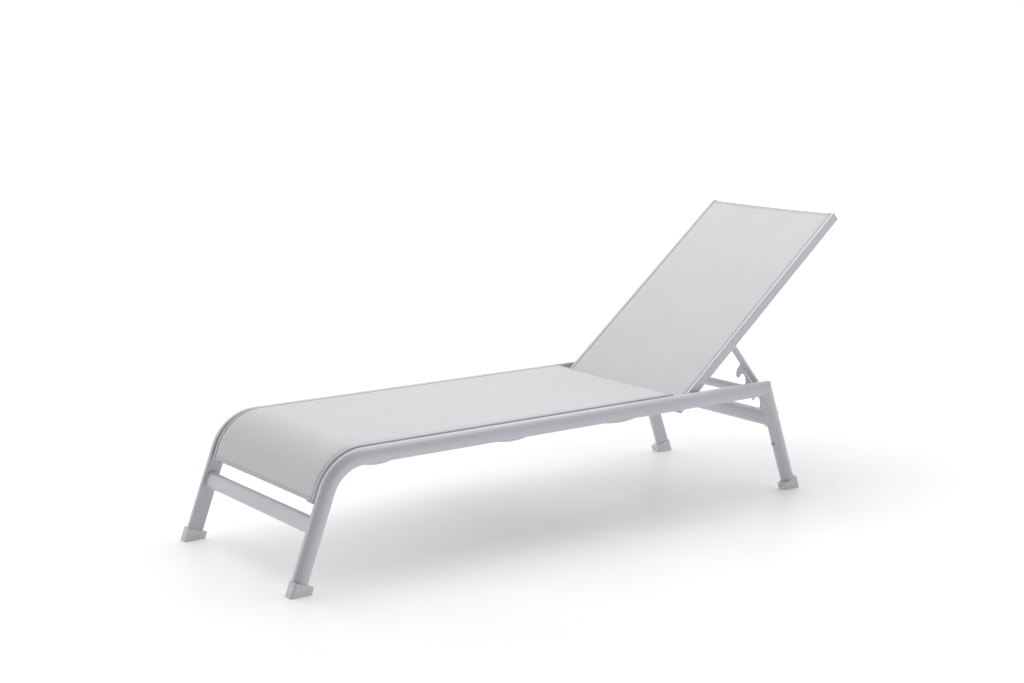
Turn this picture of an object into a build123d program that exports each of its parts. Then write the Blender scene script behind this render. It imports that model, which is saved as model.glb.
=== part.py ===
from build123d import *
import math
import os

os.makedirs("parts", exist_ok=True)

# ---------------------------------------------------------------- driving dimensions (mm)
# x runs from the foot end (low) to the head end (high), y from the sitter's left (low)
# to the sitter's right (high), z up.  Side-view points are written as (x, z) before SHIFT_X.
SHIFT_X = -958.064         # puts the origin midway between the foot end and the head end

FACE_Y = 285.1             # inner face of each side frame
TUBE_W = 25.4              # width of the side frame tube
TUBE_H = 44.0              # height of the side frame tube
STRIP_W = 12.0             # flat strip on the top and bottom of the tube
WALL = 1.6                 # wall of the side frame tube
RAIL_Z = 328.0             # centreline of the level side rail
BEND_R = 118.0             # centreline radius of the front bend
FRONT_SLOPE = 0.368        # front leg: x per unit of z
REAR_SLOPE = 0.361         # rear leg: x lost per unit of z
REAR_X0 = 1744.5           # rear leg centreline where it would meet the ground
LEG_END = 14.0             # the leg tubes stop this far up the leg, inside the feet
CORNER_R = 6.0             # rounding of the mitred rear corner

FOOT_TOP = 32.0            # height of the foot cap along the leg
FOOT_OUT, FOOT_IN = 24.5, 35.0   # foot cap beyond the leg centreline, outwards and inwards

FRONT_BAR = (60.5, 164.4)        # centre of the oval front cross bar
REAR_UPPER_BAR = (1619.7, 311.5)  # centre of the round bar that the support hooks on
REAR_UPPER_R = 13.4
REAR_LOWER_BAR = (1655.5, 225.5)

BOW_X = (302.0, 740.0, 1130.0)   # the three bowed cross tubes under the seat
BOW_R, BOW_WALL = 12.5, 1.5
BOW_END_Z, BOW_SLOPE, BOW_STRAIGHT, BOW_BEND = 319.3, 0.45, 255.1, 500.0   # sloped ends, then a bend to a level middle

SEAT_TOP = 22.0            # top of the seat sling rail in its own section
SEAT_DX, SEAT_DZ = 3.0, 3.2   # the seat sling rail's centreline sits this far back from and above the side rail's
SEAT_REAR_X = 1259.0       # rear end of the seat sling rail
SEAT_FRONT_T = 234.2       # lower front end of it, measured up the leg
SLING_T = 1.0              # fabric thickness

BACK_ANGLE = 39.74         # recline of the back in the stored pose, degrees
BACK_Q = (1321.64, 341.76)  # a point on the plane of the back's upper face
BACK_S0, BACK_S1 = -47.0, 781.7   # ends of the back side rails along the back
BACK_T = 27.5              # thickness of the back side rails
BACK_IN, BACK_OUT = 246.0, 273.8  # the back side rails span these distances from mid-width
AXLE_N = -17.6             # depth of both pivots below the back's upper face
HINGE_S = 10.75            # hinge position along the back
SUPPORT_S = 244.5          # support pivot position along the back
PIN_R = 4.0                # radius of the hinge bolts and of the support axle
RUN = 0.05                 # radial running clearance round a pin

STRUT_Y, STRUT_R = 232.0, 10.0
STRUT_END = 337.0          # length of a support strut below its pivot
NOTCH = (144.85, 196.2, 247.55, 298.9)   # notch centres down the strut from the pivot
NOTCH_PERP, NOTCH_R = 34.6, 14.6
PLATE_T = 5.0

# ---------------------------------------------------------------- helpers
CA, SA = 1 / math.hypot(1, FRONT_SLOPE), FRONT_SLOPE / math.hypot(1, FRONT_SLOPE)
CR, SR = 1 / math.hypot(1, REAR_SLOPE), REAR_SLOPE / math.hypot(1, REAR_SLOPE)
BEND_Z = RAIL_Z - BEND_R
BEND_X = (BEND_R + BEND_Z * SA) / CA
BEND_T = BEND_X * SA + BEND_Z * CA      # distance up the front leg where the bend starts
BEND_DEG = math.degrees(math.atan2(CA, SA))
BC, BS = math.cos(math.radians(BACK_ANGLE)), math.sin(math.radians(BACK_ANGLE))


def side(a, x, z):
    """A point on the left side, a mm out from mid-width."""
    return Vector(x, -a, z)


def frame_at(origin, up, out_dir, a0=FACE_Y):
    """Section plane on the left side: local x points outboard from |y| = a0, local y along out_dir."""
    out = Vector(out_dir[0], 0, out_dir[1])
    xdir = Vector(0, -1, 0)
    return Plane(origin=(origin[0], -a0, origin[1]), x_dir=xdir, z_dir=xdir.cross(out))


def closed_face(edges, holes=()):
    outer = Wire(edges)
    return Face(outer, [Wire(h) for h in holes]) if holes else Face(outer)


def poly(points):
    pts = [Vector(*p) for p in points]
    return [Edge.make_line(pts[i], pts[(i + 1) % len(pts)]) for i in range(len(pts))]


def rect(a0, b0, a1, b1):
    return poly([(a0, b0, 0), (a1, b0, 0), (a1, b1, 0), (a0, b1, 0)])


def rounded(points, radii):
    """Closed outline through points with a rounding radius at each corner."""
    n = len(points)
    edges, starts, ends, mids = [], [], [], []
    for i in range(n):
        p = Vector(*points[i], 0)
        q0 = Vector(*points[i - 1], 0) - p
        q1 = Vector(*points[(i + 1) % n], 0) - p
        r = radii[i]
        u0, u1 = q0.normalized(), q1.normalized()
        if r <= 0:
            starts.append(p), ends.append(p), mids.append(None)
            continue
        half = math.acos(max(-1, min(1, u0.dot(u1)))) / 2
        d = r / math.tan(half)
        bis = (u0 + u1).normalized()
        c = p + bis * (r / math.sin(half))
        starts.append(p + u0 * d), ends.append(p + u1 * d)
        mids.append(c - bis * r)
    for i in range(n):
        if mids[i] is not None:
            edges.append(Edge.make_three_point_arc(starts[i], mids[i], ends[i]))
        a, b = ends[i], starts[(i + 1) % n]
        if (b - a).length > 1e-6:
            edges.append(Edge.make_line(a, b))
    return edges


def tube_outline(off=0.0):
    """Outline of the side frame tube: flat inner face, flat strips, convex outer face. off > 0 grows it."""
    w, h, s, r = TUBE_W + off, TUBE_H / 2 + off, STRIP_W + off * 0.3, 2.0
    a0 = -off
    if off < 0:
        r = 0.8
    c45 = r * (1 - math.sqrt(0.5))
    return [
        Edge.make_line((a0 + r, -h), (s, -h)),
        Edge.make_three_point_arc((s, -h), (w, 0), (s, h)),
        Edge.make_line((s, h), (a0 + r, h)),
        Edge.make_three_point_arc((a0 + r, h), (a0 + c45, h - c45), (a0, h - r)),
        Edge.make_line((a0, h - r), (a0, -h + r)),
        Edge.make_three_point_arc((a0, -h + r), (a0 + c45, -h + c45), (a0 + r, -h)),
    ]


def place(face, plane):
    return face.moved(plane.location)


def push(face, direction, amount):
    return extrude(face, amount=amount, dir=direction)


def prism_xz(points, y0, y1):
    """Prism of a side-view polygon between two y positions."""
    wire = Wire.make_polygon([Vector(x, y0, z) for x, z in points], close=True)
    return extrude(Face(wire), amount=y1 - y0, dir=(0, 1, 0))


def rod(p0, p1, r):
    d = Vector(*p1) - Vector(*p0)
    return Solid.make_cylinder(r, d.length, Plane(origin=p0, z_dir=d))


def ring(p0, p1, r_out, r_in):
    return rod(p0, p1, r_out) - rod(p0, p1, r_in)


def yrod(xz, a0, a1, r):
    """Rod along y on the left side between distances a0 and a1 from mid-width."""
    return rod((xz[0], -a1, xz[1]), (xz[0], -a0, xz[1]), r)


def yring(xz, a0, a1, r_out, r_in):
    return yrod(xz, a0, a1, r_out) - yrod(xz, a0, a1, r_in)


def other(shape):
    """The same piece on the other side of the mid plane."""
    return mirror(shape, about=Plane.XZ)


def leg_point(t, b=0.0):
    return (t * SA - b * CA, t * CA + b * SA)


def rear_point(t, b=0.0):
    return (REAR_X0 - t * SR + b * CR, t * CR + b * SR)


def back_point(s, n=0.0):
    return (BACK_Q[0] + s * BC - n * BS, BACK_Q[1] + s * BS + n * BC)


HINGE = back_point(HINGE_S, AXLE_N)
PIVOT = back_point(SUPPORT_S, AXLE_N)
STRUT_U, STRUT_W = (BS, -BC), (-BC, -BS)     # down the strut, and towards the foot end


def strut_point(along, perp=0.0):
    return (PIVOT[0] + along * STRUT_U[0] + perp * STRUT_W[0],
            PIVOT[1] + along * STRUT_U[1] + perp * STRUT_W[1])


def save(name, *shapes):
    solids = []
    for sh in shapes:
        for s in sh.solids():
            solids.append(s.moved(Location((SHIFT_X, 0, 0))))
    comp = Compound(children=solids) if len(solids) > 1 else solids[0]
    comp.label = name
    export_step(comp, f"parts/{name}.step")
    bb = comp.bounding_box()
    ALL.append(bb)
    print(f"{name:28s} {len(solids)} x {bb.min.X:8.2f}..{bb.max.X:8.2f} z {bb.min.Z:7.2f}..{bb.max.Z:7.2f}")


ALL = []

# ---------------------------------------------------------------- side frame tubes
# Mitre between the level rail and the rear leg.
half_h = TUBE_H / 2


def rear_line_x(b, z):
    t = (z - b * SR) / CR
    return rear_point(t, b)[0]


MITRE_OUT = (rear_line_x(half_h, RAIL_Z + half_h), RAIL_Z + half_h)
MITRE_IN = (rear_line_x(-half_h, RAIL_Z - half_h), RAIL_Z - half_h)
mv = Vector(MITRE_OUT[0] - MITRE_IN[0], 0, MITRE_OUT[1] - MITRE_IN[1]).normalized()


def beyond_mitre(offset, sign):
    """Prism covering everything on the head side (sign 1) or foot side (sign -1) of the mitre plane."""
    nx, nz = mv.Z * sign, -mv.X * sign
    p = (MITRE_IN[0] + nx * offset, MITRE_IN[1] + nz * offset)
    a = (p[0] - mv.X * 400, p[1] - mv.Z * 400)
    b = (p[0] + mv.X * 400, p[1] + mv.Z * 400)
    return prism_xz([a, b, (b[0] + nx * 600, b[1] + nz * 600), (a[0] + nx * 600, a[1] + nz * 600)], -330, -270)


# Everything outside the rounded rear corner.
c_half = math.acos(-SR) / 2      # half of the corner's inside angle
c_half = (math.pi - math.acos(SR)) / 2
turn = math.pi - 2 * c_half
c_d = CORNER_R / math.tan(c_half)
cp0 = (MITRE_OUT[0] - c_d, MITRE_OUT[1])
cp1 = (MITRE_OUT[0] + SR * c_d, MITRE_OUT[1] - CR * c_d)
cc = (cp0[0], cp0[1] - CORNER_R)
cm_dir = Vector(MITRE_OUT[0] - cc[0], 0, MITRE_OUT[1] - cc[1]).normalized()
cm = (cc[0] + cm_dir.X * CORNER_R, cc[1] + cm_dir.Z * CORNER_R)
far_out = (MITRE_OUT[0] + 30, MITRE_OUT[1] + 30)
corner_wire = Wire([
    Edge.make_three_point_arc((cp0[0], -330, cp0[1]), (cm[0], -330, cm[1]), (cp1[0], -330, cp1[1])),
    Edge.make_line((cp1[0], -330, cp1[1]), (far_out[0], -330, cp1[1])),
    Edge.make_line((far_out[0], -330, cp1[1]), (far_out[0], -330, far_out[1])),
    Edge.make_line((far_out[0], -330, far_out[1]), (cp0[0], -330, far_out[1])),
    Edge.make_line((cp0[0], -330, far_out[1]), (cp0[0], -330, cp0[1])),
])
corner_cut = extrude(Face(corner_wire), amount=60, dir=(0, 1, 0))

outline_face = closed_face(tube_outline())
cavity_face = closed_face(tube_outline(-WALL))
rail_plane = frame_at((BEND_X, RAIL_Z), None, (0, 1))
leg_plane = frame_at(leg_point(BEND_T), None, (-CA, SA))
bend_axis = Axis((BEND_X, 0, BEND_Z), (0, -1, 0))


def bent(face, leg_end, rail_end):
    """Sweep a section from leg_end (distance up the front leg) round the bend to x = rail_end."""
    body = push(place(face, rail_plane), (1, 0, 0), rail_end - BEND_X)
    curve = revolve(place(face, rail_plane), axis=bend_axis, revolution_arc=BEND_DEG)
    leg = push(place(face, leg_plane), (-SA, 0, -CA), BEND_T - leg_end)
    return body + curve + leg


side_outer = bent(outline_face, LEG_END, 1680.0) - beyond_mitre(0, 1) - corner_cut
side_cavity = bent(cavity_face, LEG_END - 5, 1680.0) - beyond_mitre(-5.0, 1)
side_rail = side_outer - side_cavity

rear_plane = frame_at(rear_point(LEG_END), None, (CR, SR))
rear_outer = push(place(outline_face, rear_plane), (-SR, 0, CR), 380) - beyond_mitre(0, -1) - corner_cut
rear_cavity_plane = frame_at(rear_point(LEG_END - 5), None, (CR, SR))
rear_cavity = push(place(cavity_face, rear_cavity_plane), (-SR, 0, CR), 385) - beyond_mitre(-5.0, -1)
rear_leg = rear_outer - rear_cavity

# holes: hinge insert in the inner wall, foot screws, stacking bumper stem
side_rail = side_rail - yrod(HINGE, FACE_Y - 1, FACE_Y + WALL + 0.4, 6.0)
SCREW_A, SCREW_T = 14.0, 25.0


def leg_line(point, a, t, b0, b1, r):
    """Rod across a leg at |y| = FACE_Y + a and distance t up the leg, from b0 to b1."""
    p0, p1 = point(t, b0), point(t, b1)
    return rod((p0[0], -(FACE_Y + a), p0[1]), (p1[0], -(FACE_Y + a), p1[1]), r)


side_rail = side_rail - leg_line(leg_point, SCREW_A, SCREW_T, -23, -17, 1.5)
rear_leg = rear_leg - leg_line(rear_point, SCREW_A, SCREW_T, -23, -17, 1.5)
BUMP_A, BUMP_T = 9.5, 166.0
rear_leg = rear_leg - leg_line(rear_point, BUMP_A, BUMP_T, -23, -20, 2.5)
save("side_rail_left", side_rail)
save("side_rail_right", other(side_rail))
save("rear_leg_left", rear_leg)
save("rear_leg_right", other(rear_leg))

bumper = leg_line(rear_point, BUMP_A, BUMP_T, -22.0, -27.6, 5.6)
bumper = fillet(bumper.edges().sort_by(Axis((0, 0, 0), (CR, 0, SR)))[0], 1.6)
bumper = bumper + leg_line(rear_point, BUMP_A, BUMP_T, -22.0, -17.5, 2.5)
save("stacking_bumpers", bumper, other(bumper))

# ---------------------------------------------------------------- feet
foot_edges = rounded(
    [(-3.5, -FOOT_IN), (28.5, -FOOT_IN), (29.5, FOOT_OUT), (-3.5, FOOT_OUT)], [2.5, 7.0, 8.0, 2.5])
foot_face = closed_face(foot_edges)
pocket_face = closed_face(tube_outline(0.1))


def foot(point, out_dir, up):
    base = frame_at(point(-40.0), None, out_dir)
    shell = push(place(foot_face, base), up, 40.0 + FOOT_TOP)
    top = [e for e in shell.edges() if abs(e.center().X * up[0] + e.center().Z * up[2]
           - (point(FOOT_TOP)[0] * up[0] + point(FOOT_TOP)[1] * up[2])) < 0.01]
    shell = fillet(top, 1.2)
    low = Solid.make_box(400, 100, 200, Plane(origin=(point(0)[0] - 200, -340, -200)))
    shell = shell - low
    seat = frame_at(point(LEG_END - 0.1), None, out_dir)
    shell = shell - push(place(pocket_face, seat), up, 60)
    shell = shell - leg_line(point, SCREW_A, SCREW_T, -FOOT_IN - 1, -28.0, 3.1)
    shell = shell - leg_line(point, SCREW_A, SCREW_T, -28.5, -18.0, 1.6)
    return shell


foot_front = foot(leg_point, (-CA, SA), (SA, 0, CA))
foot_rear = foot(rear_point, (CR, SR), (-SR, 0, CR))
save("foot_front_left", foot_front)
save("foot_front_right", other(foot_front))
save("foot_rear_left", foot_rear)
save("foot_rear_right", other(foot_rear))
screws = []
for point in (leg_point, rear_point):
    s = leg_line(point, SCREW_A, SCREW_T, -31.0, -28.0, 2.8) + leg_line(point, SCREW_A, SCREW_T, -28.0, -12.0, 1.5)
    screws += [s, other(s)]
save("foot_screws", *screws)

# ---------------------------------------------------------------- cross bars
def section_bar(centre, axis_dir, edges_fn, cavity_fn):
    """Hollow bar across the full width; axis_dir is the side-view direction of the section's long side."""
    pl = Plane(origin=(centre[0], -FACE_Y, centre[1]), x_dir=(axis_dir[0], 0, axis_dir[1]), z_dir=(0, 1, 0))
    outer = push(closed_face(edges_fn).moved(pl.location), (0, 1, 0), 2 * FACE_Y)
    inner = push(closed_face(cavity_fn).moved(pl.location), (0, 1, 0), 2 * FACE_Y)
    return outer - inner


def oval(w, h):
    """Stadium-like oval with gently curved long sides."""
    return [
        Edge.make_three_point_arc((-w + h * 0.8, -h * 0.93), (0, -h), (w - h * 0.8, -h * 0.93)),
        Edge.make_three_point_arc((w - h * 0.8, -h * 0.93), (w, 0), (w - h * 0.8, h * 0.93)),
        Edge.make_three_point_arc((w - h * 0.8, h * 0.93), (0, h), (-w + h * 0.8, h * 0.93)),
        Edge.make_three_point_arc((-w + h * 0.8, h * 0.93), (-w, 0), (-w + h * 0.8, -h * 0.93)),
    ]


front_bar = section_bar(FRONT_BAR, (SA, CA), oval(22.5, 13.5), oval(21.0, 12.0))
save("front_cross_bar", front_bar)


def d_section(h, w, strip, grow=0.0):
    """Flat back at +w/2, flat strips top and bottom, convex front. Local x is the long side."""
    h, b, f, s = h + grow, w / 2 + grow, -w / 2 - grow, w / 2 - strip
    return [
        Edge.make_line((-h, b), (-h, s)),
        Edge.make_three_point_arc((-h, s), (0, f), (h, s)),
        Edge.make_line((h, s), (h, b)),
        Edge.make_line((h, b), (-h, b)),
    ]


# the section's local y must point to the head end: with x_dir up the leg and z_dir +Y, local y = z x x
lower_bar = section_bar(REAR_LOWER_BAR, (-SR, CR), d_section(24.0, 27.0, 14.0), d_section(24.0, 27.0, 14.0, -1.6))
save("rear_lower_bar", lower_bar)
upper_bar = ring((REAR_UPPER_BAR[0], -FACE_Y, REAR_UPPER_BAR[1]), (REAR_UPPER_BAR[0], FACE_Y, REAR_UPPER_BAR[1]),
                 REAR_UPPER_R, REAR_UPPER_R - 1.5)
save("rear_upper_bar", upper_bar)

# ---------------------------------------------------------------- seat sling rails
GROOVE_R, SLOT = 4.2, 1.5
gy = math.sqrt(GROOVE_R ** 2 - SLOT ** 2)


def slotted(a0, a1, bottom, nose, slot_a, groove_b, lip_top, flange=None, slot=SLOT, outer=2.2):
    """Sling rail outline: groove and slot on top, optional bottom flange that reaches the side frame."""
    e = []

    def line(p, q):
        e.append(Edge.make_line(p, q))

    def arc(p, m, q):
        e.append(Edge.make_three_point_arc(p, m, q))

    k = 1 - math.sqrt(0.5)
    gt = groove_b + math.sqrt(GROOVE_R ** 2 - slot ** 2)
    line((a0, bottom + 1.5), (a0, nose - 2.0))
    arc((a0, nose - 2.0), (a0 + 2.0 * k, nose - 2.0 * k), (a0 + 2.0, nose))
    line((a0 + 2.0, nose), (slot_a - slot - 0.8, nose))
    arc((slot_a - slot - 0.8, nose), (slot_a - slot - 0.8 * k, nose - 0.8 * k), (slot_a - slot, nose - 0.8))
    line((slot_a - slot, nose - 0.8), (slot_a - slot, gt))
    arc((slot_a - slot, gt), (slot_a, groove_b - GROOVE_R), (slot_a + slot, gt))
    line((slot_a + slot, gt), (slot_a + slot, lip_top - 1.0))
    arc((slot_a + slot, lip_top - 1.0), (slot_a + slot + k, lip_top - k), (slot_a + slot + 1.0, lip_top))
    line((slot_a + slot + 1.0, lip_top), (a1 - outer, lip_top))
    arc((a1 - outer, lip_top), (a1 - outer * k, lip_top - outer * k), (a1, lip_top - outer))
    if flange:
        line((a1, lip_top - outer), (a1, bottom + flange[1]))
        line((a1, bottom + flange[1]), (flange[0], bottom + flange[1]))
        line((flange[0], bottom + flange[1]), (flange[0], bottom))
        line((flange[0], bottom), (a0 + 1.5, bottom))
    else:
        line((a1, lip_top - outer), (a1, bottom + 1.5))
        arc((a1, bottom + 1.5), (a1 - 1.5 * k, bottom + 1.5 * k), (a1 - 1.5, bottom))
        line((a1 - 1.5, bottom), (a0 + 1.5, bottom))
    arc((a0 + 1.5, bottom), (a0 + 1.5 * k, bottom + 1.5 * k), (a0, bottom + 1.5))
    return e


SEAT_A0, SEAT_A1, SEAT_SLOT, SEAT_GROOVE = 243.0, 276.0, 264.0, 13.6
SEAT_GAP = 2.1             # half width of the seat rail's slot
seat_edges = slotted(SEAT_A0, SEAT_A1, 2.0, 20.4, SEAT_SLOT, SEAT_GROOVE, SEAT_TOP, flange=(FACE_Y, 3.0), slot=SEAT_GAP, outer=5.5)
seat_holes = [rect(245.0, 4.0, 267.6, 7.8), rect(269.9, 5.5, 274.4, 16.8), rect(245.0, 9.6, 258.0, 19.0)]
seat_rail_face = closed_face(seat_edges, seat_holes)
seat_cap_face = closed_face(rounded(
    [(SEAT_A0, 2.0), (SEAT_A1 + 1, 2.0), (SEAT_A1 + 1, SEAT_TOP), (267.0, SEAT_TOP), (263.8, 20.4), (SEAT_A0, 20.4)],
    [1.5, 1.5, 6.0, 0.8, 0.8, 2.0]))
rail_plane0 = frame_at((BEND_X + SEAT_DX, RAIL_Z + SEAT_DZ), None, (0, 1), 0.0)
leg_top0 = (leg_point(BEND_T)[0] + SEAT_DX, leg_point(BEND_T)[1] + SEAT_DZ)
leg_plane0 = frame_at(leg_top0, None, (-CA, SA), 0.0)
bend_axis0 = Axis((BEND_X + SEAT_DX, 0, BEND_Z + SEAT_DZ), (0, -1, 0))


def bent0(face, leg_end, rail_end):
    body = push(place(face, rail_plane0), (1, 0, 0), rail_end - BEND_X)
    curve = revolve(place(face, rail_plane0), axis=bend_axis0, revolution_arc=BEND_DEG)
    leg = push(place(face, leg_plane0), (-SA, 0, -CA), BEND_T - leg_end)
    return body + curve + leg


sling_rail = bent0(seat_rail_face, SEAT_FRONT_T, SEAT_REAR_X)
RAIL_SCREW_A = 280.5
rail_screws = []
bow_cuts = []
for x in BOW_X:
    hole = rod((x, -RAIL_SCREW_A, RAIL_Z - 14), (x, -RAIL_SCREW_A, RAIL_Z + SEAT_DZ + 6), 2.05)
    sling_rail = sling_rail - hole
    bow_cuts.append(hole)
    sc_z = RAIL_Z + SEAT_DZ + 5.0
    sc = rod((x, -RAIL_SCREW_A, sc_z), (x, -RAIL_SCREW_A, sc_z + 2.6), 3.6) + rod(
        (x, -RAIL_SCREW_A, RAIL_Z - 13), (x, -RAIL_SCREW_A, sc_z), 2.0)
    rail_screws += [sc, other(sc)]
save("seat_sling_rail_left", sling_rail)
save("seat_sling_rail_right", other(sling_rail))
save("sling_rail_screws", *rail_screws)

cap_at = leg_point(SEAT_FRONT_T)
cap_front_plane = frame_at((cap_at[0] + SEAT_DX, cap_at[1] + SEAT_DZ), None, (-CA, SA), 0.0)
cap_front = push(place(seat_cap_face, cap_front_plane), (-SA, 0, -CA), 8.5)
cap_rear_plane = frame_at((SEAT_REAR_X + SEAT_DX, RAIL_Z + SEAT_DZ), None, (0, 1), 0.0)
cap_rear = push(place(seat_cap_face, cap_rear_plane), (1, 0, 0), 3.0)
save("seat_rail_caps_front", cap_front, other(cap_front))
save("seat_rail_caps_rear", cap_rear, other(cap_rear))

spline_face = Face(Wire([Edge.make_circle(2.6, Plane(origin=(SEAT_SLOT, SEAT_GROOVE, 0)))]))
spline = bent0(spline_face, SEAT_FRONT_T + 3, SEAT_REAR_X - 3)
save("seat_splines", spline, other(spline))

# seat sling: one sheet, level over the rails, round the bend and down the front
sl0, sl1 = SEAT_TOP - 0.9, SEAT_TOP - 0.9 + SLING_T
SLING_A = SEAT_SLOT - SEAT_GAP - 0.4
sling_face = closed_face(rect(-SLING_A, sl0, SLING_A, sl1))
seat_sling = bent0(sling_face, 230.0, SEAT_REAR_X - 1.0)
save("seat_sling", seat_sling)

# ---------------------------------------------------------------- bowed cross tubes under the seat
bow_ang = math.atan(BOW_SLOPE)
bow_run = BOW_BEND * math.sin(bow_ang)
bow_y0 = BOW_STRAIGHT - bow_run            # the middle is level out to here
bow_z1 = BOW_END_Z - (FACE_Y - BOW_STRAIGHT) * BOW_SLOPE
bow_z0 = bow_z1 - BOW_BEND * (1 - math.cos(bow_ang))
for name, x in zip(("seat_bow_front", "seat_bow_middle", "seat_bow_rear"), BOW_X):
    tubes = []
    z_end = bow_z1 + (FACE_Y + 12 - BOW_STRAIGHT) * BOW_SLOPE
    for r in (BOW_R, BOW_R - BOW_WALL):
        tube = rod((x, -bow_y0, bow_z0), (x, bow_y0, bow_z0), r)
        disc = Face(Wire([Edge.make_circle(r, Plane(origin=(x, bow_y0, bow_z0), x_dir=(1, 0, 0), z_dir=(0, 1, 0)))]))
        arm = revolve(disc, axis=Axis((x, bow_y0, bow_z0 + BOW_BEND), (1, 0, 0)), revolution_arc=math.degrees(bow_ang))
        arm = arm + rod((x, BOW_STRAIGHT, bow_z1), (x, FACE_Y + 12, z_end), r)
        tubes.append(tube + arm + other(arm))
    bow = tubes[0] - tubes[1]
    keep = Solid.make_box(100, 2 * FACE_Y, 400, Plane(origin=(x - 50, -FACE_Y, 100)))
    bow = bow & keep
    for hole in bow_cuts:
        bow = bow - hole - other(hole)
    save(name, bow)

# ---------------------------------------------------------------- back frame
def back_plane(s, a0=0.0):
    o = back_point(s)
    return Plane(origin=(o[0], -a0, o[1]), x_dir=(0, -1, 0), z_dir=Vector(0, -1, 0).cross(Vector(-BS, 0, BC)))


BACK_DIR = (BC, 0, BS)
B_SLOT, B_GROOVE = 259.5, -8.4
back_edges = slotted(BACK_IN, BACK_OUT, -BACK_T, -1.2, B_SLOT, B_GROOVE, 0.0)
back_holes = [rect(BACK_IN + 1.8, -BACK_T + 1.8, BACK_OUT - 1.8, -14.4),
              rect(265.6, -12.6, BACK_OUT - 1.8, -2.2), rect(BACK_IN + 1.8, -12.6, 253.6, -3.4)]
back_face = closed_face(back_edges, back_holes)
back_rail = push(place(back_face, back_plane(BACK_S0)), BACK_DIR, BACK_S1 - BACK_S0)
back_rail = back_rail - yrod(HINGE, BACK_IN - 1, BACK_OUT + 1, PIN_R + RUN)
back_rail = back_rail - yrod(PIVOT, BACK_IN - 1, 257.0, PIN_R + RUN)
save("back_rail_left", back_rail)
save("back_rail_right", other(back_rail))

back_cap_face = closed_face(rounded([(BACK_IN, -BACK_T), (BACK_OUT, -BACK_T), (BACK_OUT, 0.0), (BACK_IN, -1.2)],
                                    [1.5, 1.5, 3.0, 3.0]))
cap_top = push(place(back_cap_face, back_plane(BACK_S1)), BACK_DIR, 2.5)
cap_bot = push(place(back_cap_face, back_plane(BACK_S0 - 2.5)), BACK_DIR, 2.5)
save("back_rail_caps", cap_top, other(cap_top), cap_bot, other(cap_bot))

for name, s in (("back_top_bar", 766.0), ("back_lower_bar", -29.0)):
    c = back_point(s, -16.0)
    save(name, ring((c[0], -BACK_IN, c[1]), (c[0], BACK_IN, c[1]), 10.5, 9.0))

back_spline = push(Face(Wire([Edge.make_circle(2.6, Plane(origin=(B_SLOT, B_GROOVE, 0)))])).moved(back_plane(BACK_S0 + 3).location),
                   BACK_DIR, BACK_S1 - BACK_S0 - 6)
save("back_splines", back_spline, other(back_spline))

B_A = B_SLOT - SLOT - 0.4
back_sling_face = closed_face(rect(-B_A, -0.9, B_A, -0.9 + SLING_T))
back_sling = push(place(back_sling_face, back_plane(BACK_S0 + 2)), BACK_DIR, BACK_S1 - BACK_S0 - 3)
save("back_sling", back_sling)

# ---------------------------------------------------------------- hinge
bolt = yrod(HINGE, 238.9, 244.2, 7.2)
bolt = chamfer(bolt.edges().sort_by(Axis.Y)[-1], 0.8)
bolt = bolt - yrod(HINGE, 238.0, 241.4, 2.6)
bolt = bolt + yrod(HINGE, 244.2, 299.0, PIN_R)
save("hinge_bolt_left", bolt)
save("hinge_bolt_right", other(bolt))
washer = yring(HINGE, 244.2, 245.7, 9.0, PIN_R)
spacer = yring(HINGE, BACK_OUT + 0.3, FACE_Y - 0.3, 8.0, PIN_R)
save("hinge_washers", washer, other(washer))
save("hinge_spacers", spacer, other(spacer))
insert = yring(HINGE, FACE_Y, 299.5, 6.0, PIN_R + RUN)
save("hinge_inserts", insert, other(insert))

# ---------------------------------------------------------------- support: two struts, hook plates and a pivot tube
def strut_rod(al0, al1, r, a=STRUT_Y):
    p0, p1 = strut_point(al0), strut_point(al1)
    return rod((p0[0], -a, p0[1]), (p1[0], -a, p1[1]), r)


axle = rod((PIVOT[0], -256.0, PIVOT[1]), (PIVOT[0], 256.0, PIVOT[1]), PIN_R)
save("support_axle", axle)
bush = yring(PIVOT, STRUT_Y + STRUT_R + 0.3, BACK_IN - 0.3, 7.5, PIN_R)
save("support_bushes", bush, other(bush))

strut = strut_rod(-11.0, STRUT_END, STRUT_R) - strut_rod(-11.0, STRUT_END, STRUT_R - 1.5)
strut = strut - yrod(PIVOT, STRUT_Y - 12, STRUT_Y + 12, PIN_R)
plug_t = strut_rod(-13.0, -11.0, STRUT_R)
plug_b = strut_rod(STRUT_END, STRUT_END + 2.0, STRUT_R)
save("support_strut_left", strut)
save("support_strut_right", other(strut))
save("strut_end_plugs", plug_t, other(plug_t), plug_b, other(plug_b))
cope = strut_rod(-30.0, 60.0, STRUT_R)
tube = ring((PIVOT[0], -(STRUT_Y - 4), PIVOT[1]), (PIVOT[0], STRUT_Y - 4, PIVOT[1]), 9.0, 7.5)
tube = tube - cope - other(cope)
save("support_pivot_tube", tube)


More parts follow.
